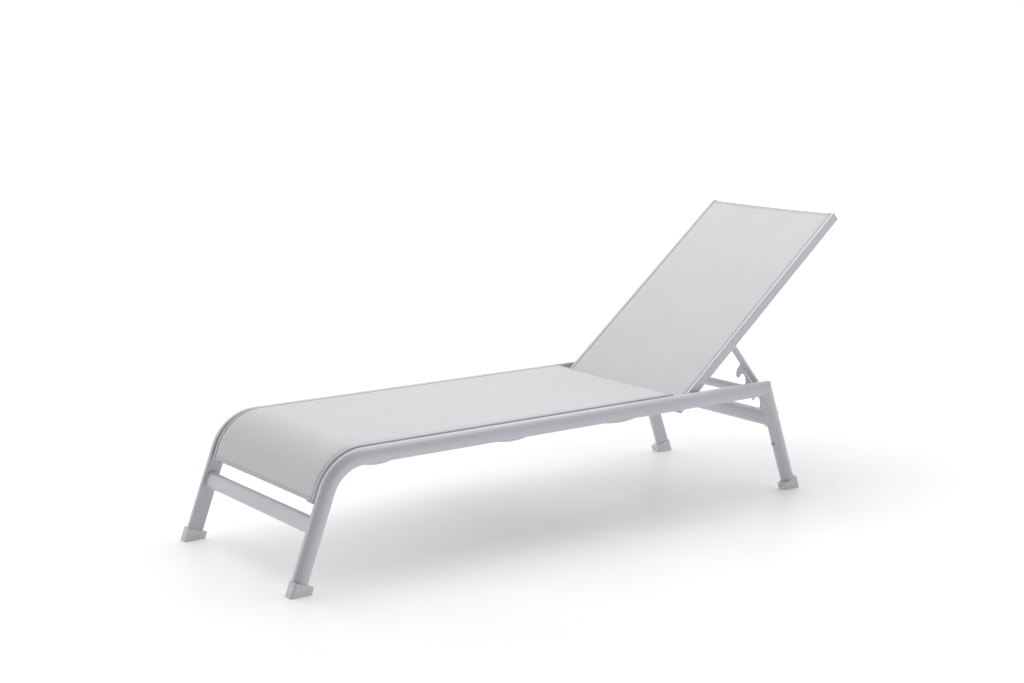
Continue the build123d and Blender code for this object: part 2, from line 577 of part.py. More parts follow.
def plate_outline():
    """Side view of a hook plate in strut coordinates: along the strut, and out from its centreline."""
    def q(al, pp):
        p = strut_point(al, pp)
        return Vector(p[0], -(STRUT_Y + PLATE_T / 2), p[1])

    e = []

    def line(p0, p1):
        e.append(Edge.make_line(q(*p0), q(*p1)))

    def arc(p0, m, p1):
        e.append(Edge.make_three_point_arc(q(*p0), q(*m), q(*p1)))

    n = len(NOTCH)
    t = NOTCH[0]
    start = (105.0, 6.0)
    # outer curve of the first finger
    line(start, (105.6, 14.0))
    arc((105.6, 14.0), (108.4, 30.5), (117.3, 41.6))
    arc((117.3, 41.6), (123.4, 44.4), (t - 17.0, 43.4))
    for i, t in enumerate(NOTCH):
        # rounded tip, undercut wall, then the seat of the notch
        arc((t - 17.0, 43.4), (t - 15.3, 41.8), (t - 16.0, 39.4))
        arc((t - 16.0, 39.4), (t - 17.8, 31.6), (t - 13.6, 24.0))
        bottom = (t + 4.2, NOTCH_PERP - math.sqrt(NOTCH_R ** 2 - 4.2 ** 2))
        arc((t - 13.6, 24.0), (t - 5.6, 19.8), bottom)
        if i < n - 1:
            ramp = (t + 22.6, 32.4)
            arc(bottom, (t + 14.0, 25.0), ramp)
            nt = NOTCH[i + 1]
            arc(ramp, (t + 27.4, 39.4), (nt - 17.0, 43.4))
        else:
            ramp = (t + 24.6, 34.6)
            arc(bottom, (t + 15.6, 25.6), ramp)
            arc(ramp, (t + 30.3, 49.0), (t + 38.0, 55.6))
            arc((t + 38.0, 55.6), (t + 42.6, 54.6), (t + 44.0, 49.0))
            line((t + 44.0, 49.0), (STRUT_END, 24.0))
            line((STRUT_END, 24.0), (STRUT_END, 6.0))
    line((STRUT_END, 6.0), (324.0, 6.0))
    # the plate stands off the strut in three slots between its weld lands
    line((324.0, 6.0), (322.0, 11.8))
    line((322.0, 11.8), (296.0, 11.8))
    line((296.0, 11.8), (294.0, 6.0))
    line((294.0, 6.0), (274.0, 6.0))
    line((274.0, 6.0), (272.0, 11.8))
    line((272.0, 11.8), (216.0, 11.8))
    line((216.0, 11.8), (214.0, 6.0))
    line((214.0, 6.0), (194.0, 6.0))
    line((194.0, 6.0), (192.0, 11.8))
    line((192.0, 11.8), (190.0, 13.8))
    line((190.0, 13.8), (131.5, 13.8))
    line((131.5, 13.8), (127.0, 6.0))
    line((127.0, 6.0), start)
    return e


plate = extrude(Face(Wire(plate_outline())), amount=PLATE_T, dir=(0, 1, 0)) - strut_rod(0, STRUT_END + 5, STRUT_R)
save("hook_plate_left", plate)
save("hook_plate_right", other(plate))

lo = min(b.min.X for b in ALL)
hi = max(b.max.X for b in ALL)
print("x", lo, hi, "centre", (lo + hi) / 2, "-> SHIFT_X", SHIFT_X - (lo + hi) / 2)
print("y", min(b.min.Y for b in ALL), max(b.max.Y for b in ALL), "z", min(b.min.Z for b in ALL), max(b.max.Z for b in ALL))
print("hinge", HINGE[0] + SHIFT_X, HINGE[1], "pivot", PIVOT[0] + SHIFT_X, PIVOT[1], "nodes", len(ALL))
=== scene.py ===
import bpy
import math
import random
import numpy as np
from mathutils import Vector, Matrix


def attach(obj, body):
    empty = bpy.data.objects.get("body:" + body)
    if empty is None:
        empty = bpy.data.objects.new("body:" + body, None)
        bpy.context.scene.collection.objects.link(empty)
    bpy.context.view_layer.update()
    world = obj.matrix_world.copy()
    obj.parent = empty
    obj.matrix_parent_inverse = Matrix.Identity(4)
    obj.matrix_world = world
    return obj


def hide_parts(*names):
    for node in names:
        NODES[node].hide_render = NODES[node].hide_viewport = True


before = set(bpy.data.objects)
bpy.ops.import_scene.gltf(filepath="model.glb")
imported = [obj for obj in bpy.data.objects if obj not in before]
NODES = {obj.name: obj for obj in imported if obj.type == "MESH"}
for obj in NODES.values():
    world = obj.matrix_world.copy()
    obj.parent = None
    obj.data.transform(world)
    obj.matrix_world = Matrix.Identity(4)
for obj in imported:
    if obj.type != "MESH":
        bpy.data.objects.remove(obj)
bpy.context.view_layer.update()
random.seed(7)

# ------------------------------------------------------------------ driving sizes, in mm
# Side-view points are (x, z) with x from the front leg's foot, as in the CAD source; ROW moves them to the row frame.
SHIFT_X = -958.064
FACE_Y = 285.1
RAIL_Z, BEND_R = 328.0, 118.0
FRONT_SLOPE, REAR_SLOPE, REAR_X0 = 0.368, 0.361, 1744.5
FRONT_BAR = (60.5, 164.4)
REAR_UPPER_BAR, REAR_UPPER_R = (1619.7, 311.5), 13.4
REAR_LOWER_BAR = (1655.5, 225.5)
BOW_X = (302.0, 740.0, 1130.0)
BOW_R, BOW_END_Z, BOW_SLOPE = 12.5, 319.3, 0.45
SEAT_DX, SEAT_DZ, SEAT_END_T = 3.0, 3.2, 230.0
BACK_ANGLE, BACK_Q = 39.74, (1321.64, 341.76)
BACK_S0, BACK_S1 = -47.0, 781.7
BACK_IN, BACK_OUT = 246.0, 273.8
AXLE_N, HINGE_S, SUPPORT_S = -17.6, 10.75, 244.5
STRUT_Y, STRUT_R, STRUT_END, PLATE_T = 232.0, 10.0, 337.0, 5.0

CA, SA = 1 / math.hypot(1, FRONT_SLOPE), FRONT_SLOPE / math.hypot(1, FRONT_SLOPE)
CR, SR = 1 / math.hypot(1, REAR_SLOPE), REAR_SLOPE / math.hypot(1, REAR_SLOPE)
BEND_Z = RAIL_Z - BEND_R
BEND_X = (BEND_R + BEND_Z * SA) / CA
BEND_T = BEND_X * SA + BEND_Z * CA
BEND_RAD = math.atan2(CA, SA)
BC, BS = math.cos(math.radians(BACK_ANGLE)), math.sin(math.radians(BACK_ANGLE))


def row(x, y, z):
    """A point in mm, side-view x, to the row frame in metres."""
    return ((x + SHIFT_X) / 1000.0, y / 1000.0, z / 1000.0)


def leg_point(t, b=0.0):
    return t * SA - b * CA, t * CA + b * SA


def rear_point(t, b=0.0):
    return REAR_X0 - t * SR + b * CR, t * CR + b * SR


def back_point(s, n=0.0):
    return BACK_Q[0] + s * BC - n * BS, BACK_Q[1] + s * BS + n * BC


PIVOT = back_point(SUPPORT_S, AXLE_N)
HINGE = back_point(HINGE_S, AXLE_N)


def strut_point(along, perp=0.0):
    return PIVOT[0] + along * BS - perp * BC, PIVOT[1] - along * BC - perp * BS


# ------------------------------------------------------------------ small node helpers
def new_material(name):
    m = bpy.data.materials.new(name)
    m.use_nodes = True
    nt = m.node_tree
    bsdf = next(n for n in nt.nodes if n.type == "BSDF_PRINCIPLED")
    return m, nt, bsdf


def add(nt, kind, **sockets):
    n = nt.nodes.new(kind)
    for k, v in sockets.items():
        n.inputs[k].default_value = v
    return n


def math_node(nt, op, a, b=None, c=None, clamp=False):
    n = nt.nodes.new("ShaderNodeMath")
    n.operation = op
    n.use_clamp = clamp
    for i, v in enumerate((a, b, c)):
        if v is None:
            continue
        if hasattr(v, "is_output"):
            nt.links.new(v, n.inputs[i])
        else:
            n.inputs[i].default_value = v
    return n.outputs[0]


def mix_colour(nt, fac, a, b, blend="MIX"):
    n = nt.nodes.new("ShaderNodeMix")
    n.data_type = "RGBA"
    n.blend_type = blend
    for sock, v in ((n.inputs["Factor"], fac), (n.inputs["A"], a), (n.inputs["B"], b)):
        if hasattr(v, "is_output"):
            nt.links.new(v, sock)
        elif isinstance(v, (int, float)):
            sock.default_value = v
        else:
            sock.default_value = (*v, 1.0) if len(v) == 3 else v
    return next(o for o in n.outputs if o.type == "RGBA")


def noise(nt, vector, scale, detail=2.0, rough=0.5):
    n = nt.nodes.new("ShaderNodeTexNoise")
    n.inputs["Scale"].default_value = scale
    n.inputs["Detail"].default_value = detail
    n.inputs["Roughness"].default_value = rough
    nt.links.new(vector, n.inputs["Vector"])
    return n.outputs["Fac"]


def remap(nt, value, lo, hi, out_lo, out_hi):
    n = nt.nodes.new("ShaderNodeMapRange")
    n.inputs["From Min"].default_value = lo
    n.inputs["From Max"].default_value = hi
    n.inputs["To Min"].default_value = out_lo
    n.inputs["To Max"].default_value = out_hi
    nt.links.new(value, n.inputs["Value"])
    return n.outputs["Result"]


def bump(nt, height, strength, distance, normal=None):
    n = nt.nodes.new("ShaderNodeBump")
    n.inputs["Strength"].default_value = strength
    n.inputs["Distance"].default_value = distance
    nt.links.new(height, n.inputs["Height"])
    if normal is not None:
        nt.links.new(normal, n.inputs["Normal"])
    return n.outputs["Normal"]


def scaled(colour, k):
    return tuple(min(1.0, c * k) for c in colour)


# ------------------------------------------------------------------ materials
def powder_coat(name, colour, rough=0.31, spec=0.8):
    """Satin powder coat: faint cloudiness, fine grain in the colour and orange peel in the surface."""
    m, nt, p = new_material(name)
    tc = nt.nodes.new("ShaderNodeTexCoord").outputs["Object"]
    cloud = remap(nt, noise(nt, tc, 5.0, 3.0), 0.3, 0.7, 0.0, 1.0)
    col = mix_colour(nt, cloud, scaled(colour, 0.975), scaled(colour, 1.02))
    grain = remap(nt, noise(nt, tc, 1400.0, 1.0), 0.35, 0.65, 0.0, 1.0)
    col2 = mix_colour(nt, math_node(nt, "MULTIPLY", grain, 0.35), col, scaled(colour, 1.09))
    nt.links.new(col2, p.inputs["Base Color"])
    nt.links.new(remap(nt, noise(nt, tc, 45.0, 2.0), 0.3, 0.7, rough - 0.035, rough + 0.035), p.inputs["Roughness"])
    peel = noise(nt, tc, 650.0, 1.5)
    nt.links.new(bump(nt, peel, 0.16, 0.0002), p.inputs["Normal"])
    p.inputs["Specular IOR Level"].default_value = spec
    return m


def moulded(name, colour, rough=0.5, grain=900.0, strength=0.2, spec=0.4):
    """Moulded plastic: a fine spark-eroded texture with slight tone drift and scattered lighter specks."""
    m, nt, p = new_material(name)
    tc = nt.nodes.new("ShaderNodeTexCoord").outputs["Object"]
    drift = remap(nt, noise(nt, tc, 18.0, 3.0), 0.3, 0.7, 0.0, 1.0)
    col = mix_colour(nt, drift, scaled(colour, 0.96), scaled(colour, 1.035))
    speck = remap(nt, noise(nt, tc, grain * 1.6, 1.0), 0.42, 0.62, 0.0, 0.3)
    col = mix_colour(nt, speck, col, scaled(colour, 1.12))
    nt.links.new(col, p.inputs["Base Color"])
    nt.links.new(remap(nt, noise(nt, tc, 70.0, 2.0), 0.3, 0.7, rough - 0.05, rough + 0.06), p.inputs["Roughness"])
    nt.links.new(bump(nt, noise(nt, tc, grain, 2.0), strength, 0.00025), p.inputs["Normal"])
    p.inputs["Specular IOR Level"].default_value = spec
    return m


def steel(name, colour=(0.56, 0.57, 0.58), rough=0.3):
    """Stainless fastener: turned lines round its own axis show as fine scratches."""
    m, nt, p = new_material(name)
    tc = nt.nodes.new("ShaderNodeTexCoord").outputs["Object"]
    mp = nt.nodes.new("ShaderNodeMapping")
    mp.inputs["Scale"].default_value = (1.0, 0.08, 1.0)
    nt.links.new(tc, mp.inputs["Vector"])
    lines = noise(nt, mp.outputs["Vector"], 1500.0, 2.0)
    col = mix_colour(nt, remap(nt, lines, 0.3, 0.7, 0.0, 1.0), scaled(colour, 0.86), scaled(colour, 1.1))
    nt.links.new(col, p.inputs["Base Color"])
    nt.links.new(remap(nt, lines, 0.3, 0.7, rough - 0.07, rough + 0.1), p.inputs["Roughness"])
    nt.links.new(bump(nt, lines, 0.12, 0.0001), p.inputs["Normal"])
    p.inputs["Metallic"].default_value = 1.0
    return m


def woven(name, colour, pitch=1.45, hole=0.72, rough=0.6):
    """Coated mesh: a plain weave of round yarns read from a map in metres, with small open corners between them; the
    open corners and the low parts of the yarns carry painted shade.
    """
    m, nt, p = new_material(name)
    uv = nt.nodes.new("ShaderNodeUVMap")
    uv.uv_map = "weave"
    sep = nt.nodes.new("ShaderNodeSeparateXYZ")
    nt.links.new(uv.outputs["UV"], sep.inputs[0])
    tc = nt.nodes.new("ShaderNodeTexCoord").outputs["Object"]
    per = 1000.0 / pitch
    wob = math_node(nt, "MULTIPLY_ADD", noise(nt, tc, 26.0, 2.0), 0.5, -0.25)
    a = math_node(nt, "MULTIPLY_ADD", sep.outputs["X"], per, wob)
    b = math_node(nt, "MULTIPLY_ADD", sep.outputs["Y"], per, wob)
    fa, fb = math_node(nt, "FRACT", a), math_node(nt, "FRACT", b)
    hu = math_node(nt, "SINE", math_node(nt, "MULTIPLY", fa, math.pi))
    hv = math_node(nt, "SINE", math_node(nt, "MULTIPLY", fb, math.pi))
    cell = math_node(nt, "ADD", math_node(nt, "FLOOR", a), math_node(nt, "FLOOR", b))
    odd = math_node(nt, "GREATER_THAN", math_node(nt, "FRACT", math_node(nt, "MULTIPLY", cell, 0.5)), 0.25)
    over_u = math_node(nt, "MULTIPLY", hu, math_node(nt, "MULTIPLY_ADD", hv, 0.45, 0.55))
    over_v = math_node(nt, "MULTIPLY", hv, math_node(nt, "MULTIPLY_ADD", hu, 0.45, 0.55))
    mixn = nt.nodes.new("ShaderNodeMix")
    mixn.data_type = "FLOAT"
    nt.links.new(odd, mixn.inputs["Factor"])
    floats = [s for s in mixn.inputs if s.type == "VALUE" and s.name in ("A", "B")]
    nt.links.new(over_u, floats[0])
    nt.links.new(over_v, floats[1])
    height = next(o for o in mixn.outputs if o.type == "VALUE")
    # painted shade: the open corners between the yarns, masked here, are filled with near-black colour further down
    open_corner_shade = math_node(nt, "MULTIPLY", math_node(nt, "SUBTRACT", 1.0, hu), math_node(nt, "SUBTRACT", 1.0, hv))
    open_corner_shade = remap(nt, open_corner_shade, 0.25, 0.7, 0.0, 1.0)
    yarn = nt.nodes.new("ShaderNodeMapping")
    yarn.inputs["Scale"].default_value = (900.0, 14.0, 1.0)
    nt.links.new(uv.outputs["UV"], yarn.inputs["Vector"])
    streak = remap(nt, noise(nt, yarn.outputs["Vector"], 1.0, 2.0), 0.3, 0.7, 0.0, 1.0)
    cloud = remap(nt, noise(nt, tc, 9.0, 4.0), 0.3, 0.7, 0.0, 1.0)
    col = mix_colour(nt, cloud, scaled(colour, 0.975), scaled(colour, 1.02))
    col = mix_colour(nt, math_node(nt, "MULTIPLY", streak, 0.3), col, scaled(colour, 0.93))
    # painted shade: the yarns darken where they dip low under the crossing yarns
    low = remap(nt, height, 0.1, 0.85, 0.22, 0.0)
    col = mix_colour(nt, low, col, scaled(colour, 0.66))
    col = mix_colour(nt, math_node(nt, "MULTIPLY", open_corner_shade, 1.0 - hole), col, (0.03, 0.03, 0.032))
    # the turned hem is two layers deep; painted shade darkens the whole hem band, its fold at the end and its two
    # stitch lines
    huv = nt.nodes.new("ShaderNodeUVMap")
    huv.uv_map = "hem"
    hsep = nt.nodes.new("ShaderNodeSeparateXYZ")
    nt.links.new(huv.outputs["UV"], hsep.inputs[0])
    end = math_node(nt, "MULTIPLY", hsep.outputs["X"], 1000.0)
    col = mix_colour(nt, remap(nt, end, 10.8, 11.4, 0.07, 0.0), col, (0.0, 0.0, 0.0))
    col = mix_colour(nt, remap(nt, end, 0.6, 2.4, 0.30, 0.0), col, (0.0, 0.0, 0.0))
    for line in (7.0, 9.8):
        gap_to = math_node(nt, "ABSOLUTE", math_node(nt, "SUBTRACT", end, line))
        col = mix_colour(nt, remap(nt, gap_to, 0.25, 0.95, 0.20, 0.0), col, (0.0, 0.0, 0.0))
    # painted shade: the mesh is slightly darker towards the roll into the slot
    side = math_node(nt, "MULTIPLY", hsep.outputs["Y"], 1000.0)
    col = mix_colour(nt, remap(nt, side, 0.0, 9.0, 0.03, 0.0), col, (0.0, 0.0, 0.0))
    nt.links.new(col, p.inputs["Base Color"])
    nt.links.new(remap(nt, height, 0.0, 1.0, rough + 0.14, rough), p.inputs["Roughness"])
    nt.links.new(bump(nt, height, 0.55, 0.0003), p.inputs["Normal"])
    p.inputs["Specular IOR Level"].default_value = 0.32
    p.inputs["Sheen Weight"].default_value = 0.12
    p.inputs["Sheen Roughness"].default_value = 0.5
    return m


def thread(name, colour):
    """Polyester sewing thread: twisted strands along the stitch."""
    m, nt, p = new_material(name)
    tc = nt.nodes.new("ShaderNodeTexCoord").outputs["Object"]
    mp = nt.nodes.new("ShaderNodeMapping")
    mp.inputs["Rotation"].default_value = (0.0, 0.0, 0.6)
    mp.inputs["Scale"].default_value = (2400.0, 900.0, 900.0)
    nt.links.new(tc, mp.inputs["Vector"])
    tw = noise(nt, mp.outputs["Vector"], 1.0, 1.0)
    col = mix_colour(nt, remap(nt, tw, 0.35, 0.65, 0.0, 1.0), scaled(colour, 0.85), scaled(colour, 1.06))
    nt.links.new(col, p.inputs["Base Color"])
    nt.links.new(bump(nt, tw, 0.4, 0.0001), p.inputs["Normal"])
    p.inputs["Roughness"].default_value = 0.62
    return m


FRAME_RGB = (0.600, 0.615, 0.648)
MAT = {
    "frame": powder_coat("powder_coat_frame", FRAME_RGB),
    "weld": powder_coat("powder_coat_weld", scaled(FRAME_RGB, 0.98), rough=0.42),
    "foot": moulded("moulded_foot", (0.72, 0.715, 0.73), rough=0.40),
    "cap": moulded("moulded_cap", (0.50, 0.505, 0.52), rough=0.46, grain=1100.0, strength=0.12),
    "nylon": moulded("moulded_nylon", (0.60, 0.60, 0.59), rough=0.42, grain=700.0, strength=0.08),
    "bumper": moulded("moulded_bumper", (0.50, 0.50, 0.505), rough=0.66, grain=1300.0, strength=0.25),
    "steel": steel("turned_steel"),
    "black_steel": steel("blackened_steel", colour=(0.085, 0.085, 0.09), rough=0.42),
    "sling": woven("woven_sling", (0.724, 0.724, 0.736)),
    "thread": thread("sewing_thread", (0.72, 0.72, 0.73)),
}
NODE_MAT = {
    "foot": ("foot_front_left", "foot_front_right", "foot_rear_left", "foot_rear_right"),
    "cap": ("seat_rail_caps_front", "seat_rail_caps_rear", "back_rail_caps", "strut_end_plugs"),
    "nylon": ("seat_splines", "back_splines", "hinge_washers", "hinge_spacers", "support_bushes"),
    "bumper": ("stacking_bumpers",),
    "black_steel": ("foot_screws",),
    "steel": ("sling_rail_screws", "hinge_bolt_left", "hinge_bolt_right", "hinge_inserts", "support_axle"),
}
node_kind = {n: k for k, names in NODE_MAT.items() for n in names}
for n, o in NODES.items():
    mat = MAT[node_kind.get(n, "frame")]
    o.data.materials.clear()
    o.data.materials.append(mat)


# ------------------------------------------------------------------ mesh helpers
def make_object(name, verts, faces, mat, smooth=True, uvs=None):
    me = bpy.data.meshes.new(name)
    me.from_pydata([tuple(v) for v in verts], [], [tuple(f) for f in faces])
    me.validate()
    if smooth:
        me.polygons.foreach_set("use_smooth", [True] * len(me.polygons))
    if uvs is not None:
        for uname, per_vert in uvs.items():
            layer = me.uv_layers.new(name=uname)
            idx = np.zeros(len(me.loops), np.int64)
            me.loops.foreach_get("vertex_index", idx)
            layer.data.foreach_set("uv", np.asarray(per_vert, np.float32)[idx].ravel())
    me.materials.append(mat)
    me.update()
    o = bpy.data.objects.new(name, me)
    bpy.context.scene.collection.objects.link(o)
    return o


def sheet_mesh(name, mid, half, uv, mat, hem):
    """Closed sheet round a grid of mid-surface points (rows along the length, columns across), with a rounded rim."""
    nv, nu = mid.shape[:2]
    du = np.gradient(mid, axis=1)
    dv = np.gradient(mid, axis=0)
    nrm = np.cross(du, dv)
    nrm /= np.linalg.norm(nrm, axis=2, keepdims=True)
    if nrm[nv // 2, nu // 2, 2] < 0:
        nrm = -nrm
    top = mid + nrm * half[..., None]
    bot = mid - nrm * half[..., None]
    verts = list(top.reshape(-1, 3)) + list(bot.reshape(-1, 3))
    n = nu * nv
    uvm = list(uv.reshape(-1, 2)) + list(uv.reshape(-1, 2))
    hemm = list(hem.reshape(-1, 2)) + list(hem.reshape(-1, 2))
    span = uv.reshape(-1, 2).max(0) - uv.reshape(-1, 2).min(0)
    low = uv.reshape(-1, 2).min(0)
    unit = (uv.reshape(-1, 2) - low) / span.max()
    k = 0.47 / max(unit[:, 0].max(), 1e-9)
    kk = min(k, 0.98 / unit[:, 1].max())
    bake = [(0.01 + q[0] * kk, 0.01 + q[1] * kk) for q in unit] + [(0.51 + q[0] * kk, 0.01 + q[1] * kk) for q in unit]
    faces = []
    at = lambda j, i: j * nu + i
    flip = np.dot(np.cross(top[0, 1] - top[0, 0], top[1, 0] - top[0, 0]), nrm[0, 0]) < 0
    for j in range(nv - 1):
        for i in range(nu - 1):
            q = (at(j, i), at(j, i + 1), at(j + 1, i + 1), at(j + 1, i))
            q = q[::-1] if flip else q
            faces.append(q)
            faces.append(tuple(n + x for x in reversed(q)))
    ring = ([(0, i) for i in range(nu)] + [(j, nu - 1) for j in range(1, nv)]
            + [(nv - 1, i) for i in range(nu - 2, -1, -1)] + [(j, 0) for j in range(nv - 2, 0, -1)])
    centre = {}
    for (j, i) in ring:
        out = np.zeros(3)
        if j == 0:
            out -= dv[j, i] / np.linalg.norm(dv[j, i])
        if j == nv - 1:
            out += dv[j, i] / np.linalg.norm(dv[j, i])
        if i == 0:
            out -= du[j, i] / np.linalg.norm(du[j, i])
        if i == nu - 1:
            out += du[j, i] / np.linalg.norm(du[j, i])
        out /= np.linalg.norm(out)
        centre[(j, i)] = len(verts)
        verts.append(mid[j, i] + out * half[j, i] * 0.55)
        uvm.append(uv[j, i])
        hemm.append(hem[j, i])
        bake.append(bake[at(j, i)])
    m = len(ring)
    for r in range(m):
        p, q = ring[r], ring[(r + 1) % m]
        tp, tq, bp, bq = at(*p), at(*q), n + at(*p), n + at(*q)
        cp, cq = centre[p], centre[q]
        f1, f2 = (tq, tp, cp, cq), (cq, cp, bp, bq)
        if flip:
            f1, f2 = f1[::-1], f2[::-1]
        faces += [f1, f2]
    return make_object(name, verts, faces, mat, uvs={"weave": uvm, "OFBake": bake, "hem": hemm})


def tube_along(points, radius, sides=10, closed=True, ripple=0.0, pitch=3.0, flat=1.0):
    """Verts and faces of a tube along points in mm. ripple gives it the scales of a weld bead."""
    pts = np.asarray(points, float)
    n = len(pts)
    nxt = np.roll(pts, -1, 0) if closed else np.vstack([pts[1:], pts[-1:] * 2 - pts[-2:-1]])
    prv = np.roll(pts, 1, 0) if closed else np.vstack([pts[:1] * 2 - pts[1:2], pts[:-1]])
    tan = nxt - prv
    tan /= np.linalg.norm(tan, axis=1, keepdims=True)
    ref = np.array([0.0, 1.0, 0.0])
    if abs(tan @ ref).max() > 0.9:
        ref = np.array([0.3, 0.1, 0.95])
    side = np.cross(tan, ref)
    side /= np.linalg.norm(side, axis=1, keepdims=True)
    up = np.cross(side, tan)
    run = np.concatenate([[0], np.cumsum(np.linalg.norm(np.diff(pts, axis=0), axis=1))])
    verts, faces = [], []
    for i in range(n):
        r = radius * (1 + ripple * math.cos(2 * math.pi * run[i] / pitch))
        for k in range(sides):
            a = 2 * math.pi * k / sides
            verts.append(pts[i] + side[i] * r * math.cos(a) + up[i] * r * flat * math.sin(a))
    last = n if closed else n - 1
    for i in range(last):
        for k in range(sides):
            a, b = i * sides + k, i * sides + (k + 1) % sides
            c, d = ((i + 1) % n) * sides + (k + 1) % sides, ((i + 1) % n) * sides + k
            faces.append((a, b, c, d))
    if not closed:
        faces.append(tuple(range(sides))[::-1])
        faces.append(tuple((n - 1) * sides + k for k in range(sides)))
    return verts, faces


class Many:
    """Collects several meshes in mm into one piece."""

    def __init__(self):
        self.v, self.f = [], []

    def put(self, verts, faces):
        k = len(self.v)
        self.v += [tuple(p) for p in verts]
        self.f += [tuple(i + k for i in q) for q in faces]

    def build(self, name, mat):
        return make_object(name, [row(*p) for p in self.v], self.f, mat)


def turn_out(o):
    """Outward normals for a piece made of closed parts."""
    import bmesh
    bm = bmesh.new()
    bm.from_mesh(o.data)
    bmesh.ops.recalc_face_normals(bm, faces=bm.faces)
    bm.to_mesh(o.data)
    bm.free()
    return o


# ------------------------------------------------------------------ slings
THICK = 0.45          # half thickness of the mesh
HEM = 11.0            # width of the turned hem at each end


def along_rows(length, hem=HEM, step=11.0):
    """Row positions: close together over the hems and their stitch lines, even between them."""
    near = [0.0, 0.35, 0.9, 2.0, 3.6, 5.2, 6.4, 7.0, 7.6, 8.6, 9.3, 9.8, 10.3, 10.7, 11.0, 11.4, 12.2, 14.0, 17.5, 23.0]
    n = max(2, round((length - 46.0) / step))
    body = list(np.linspace(23.0, length - 23.0, n + 1))[1:-1]
    return near + body + [length - q for q in reversed(near)]


def hem_half(d):
    """Half thickness at distance d from an end: double over the hem, pulled in along the stitch lines."""
    h = THICK + 0.42 * (1 - min(1.0, max(0.0, (d - 10.2) / 0.9)))
    for line in (7.0, 9.8):
        h -= 0.20 * math.exp(-((d - line) / 0.45) ** 2)
    if d < 0.9:
        h *= 0.80 + 0.2 * d / 0.9
    return h


def across(corner_a, corner_b, corner_r, level, foot_b):
    """Half profile from mid-width outward: (distance from mid-width, height, share of the sag).
    The mesh lies level, rolls off over the nose of the rail and turns down round the nose's corner into the slot."""
    r = corner_r + THICK + 0.08
    over = corner_b + r
    pts = []
    n = 26
    for k in range(n + 1):
        a = corner_a * math.sin(math.pi / 2 * k / n) if k < n else corner_a
        ease = min(1.0, max(0.0, (a - corner_a + 13.0) / 13.0))
        ease = ease * ease * (3 - 2 * ease)
        pts.append((a, level + (over - level) * ease, 1.0))
    for k in range(1, 6):
        w = math.pi / 2 * k / 5
        pts.append((corner_a + r * math.sin(w), corner_b + r * math.cos(w), 0.0))
    for b in np.linspace(corner_b, foot_b, 4)[1:]:
        pts.append((corner_a + r, b, 0.0))
    return corner_a, pts


def noise2(u, v, seed):
    """Smooth wave field of a few fixed directions, about -1 to 1."""
    rnd = random.Random(seed)
    s = 0.0
    for _ in range(7):
        kx, kv, ph = rnd.uniform(-0.03, 0.03), rnd.uniform(-0.03, 0.03), rnd.uniform(0, 6.28)
        s += math.sin(kx * u + kv * v + ph)
    return s / 3.2


def sag_share(q):
    """1 at mid-width, falling to 0 where the mesh lands on the rails."""
    q = min(1.0, q / 0.925)
    return 1 - q * q


def sling(name, place, length, corner, level, foot_b, sag_at, seed, mat):
    rows_v = along_rows(length)
    edge, prof = across(*corner, level, foot_b)
    full = [(-a, b, w) for a, b, w in reversed(prof[1:])] + prof
    arc = [0.0]
    for p, q in zip(full, full[1:]):
        arc.append(arc[-1] + math.hypot(q[0] - p[0], q[1] - p[1]))
    mid = np.zeros((len(rows_v), len(full), 3))
    half = np.zeros((len(rows_v), len(full)))
    uv = np.zeros((len(rows_v), len(full), 2))
    hem = np.zeros((len(rows_v), len(full), 2))
    for j, v in enumerate(rows_v):
        d = min(v, length - v)
        h = hem_half(d)
        for i, (a, b, w) in enumerate(full):
            if w:
                q = min(1.0, abs(a) / edge)
                drop = sag_at(v, a) * sag_share(q)
                drop += 0.28 * noise2(a, v, seed) * sag_share(q)
                # short tension waves where the mesh leaves the groove
                drop += 0.14 * math.sin(v / 9.0 + seed + (0.8 if a > 0 else 0.0)) * math.exp(-((edge - 26.0 - abs(a)) / 9.0) ** 2)
                b = b - drop
            x, z = place(v, b)
            mid[j, i] = row(x, a, z)
            half[j, i] = h / 1000.0 if w else (THICK if abs(a) > edge + 0.4 else (h + THICK) / 2) / 1000.0
            uv[j, i] = (arc[i] / 1000.0, v / 1000.0)
            hem[j, i] = (d / 1000.0, (edge - abs(a)) / 1000.0)
    return sheet_mesh(name, mid, half, uv, mat, hem), edge


SEAT_LEVEL = 21.6
L_FLAT = 1258.0 - BEND_X
L_BEND = (BEND_R + SEAT_LEVEL) * BEND_RAD
L_LEG = BEND_T - SEAT_END_T
SEAT_LEN = L_FLAT + L_BEND + L_LEG


def seat_place(v, b):
    if v <= L_FLAT:
        x, z = 1258.0 - v, RAIL_Z + b
    elif v <= L_FLAT + L_BEND:
        w = (v - L_FLAT) / (BEND_R + SEAT_LEVEL)
        x, z = BEND_X - (BEND_R + b) * math.sin(w), BEND_Z + (BEND_R + b) * math.cos(w)
    else:
        x, z = leg_point(BEND_T - (v - L_FLAT - L_BEND), b)
    return x + SEAT_DX, z + SEAT_DZ


def seat_sag(v, a):
    mid = 3.4 * math.sin(math.pi * min(1.0, max(0.0, v / L_FLAT))) ** 0.7
    bend = 3.2 * math.exp(-((v - (L_FLAT + L_BEND * 0.45)) / 95.0) ** 2)
    return 1.2 + mid + bend


seat_cloth, seat_edge = sling("seat_sling_cloth", seat_place, SEAT_LEN, (261.1, 19.6, 0.8), SEAT_LEVEL, 16.7, seat_sag, 3, MAT["sling"])
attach(seat_cloth, "frame")
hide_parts("seat_sling")

BACK_LEVEL = -0.4
BACK_V0 = BACK_S0 + 2.0
BACK_LEN = BACK_S1 - BACK_S0 - 3.0


def back_place(v, n):
    return back_point(BACK_V0 + v, n)


def back_sag(v, a):
    ends = 2.4
    mid = 2.2 * math.sin(math.pi * min(1.0, max(0.0, v / BACK_LEN))) ** 0.8
    return ends + mid


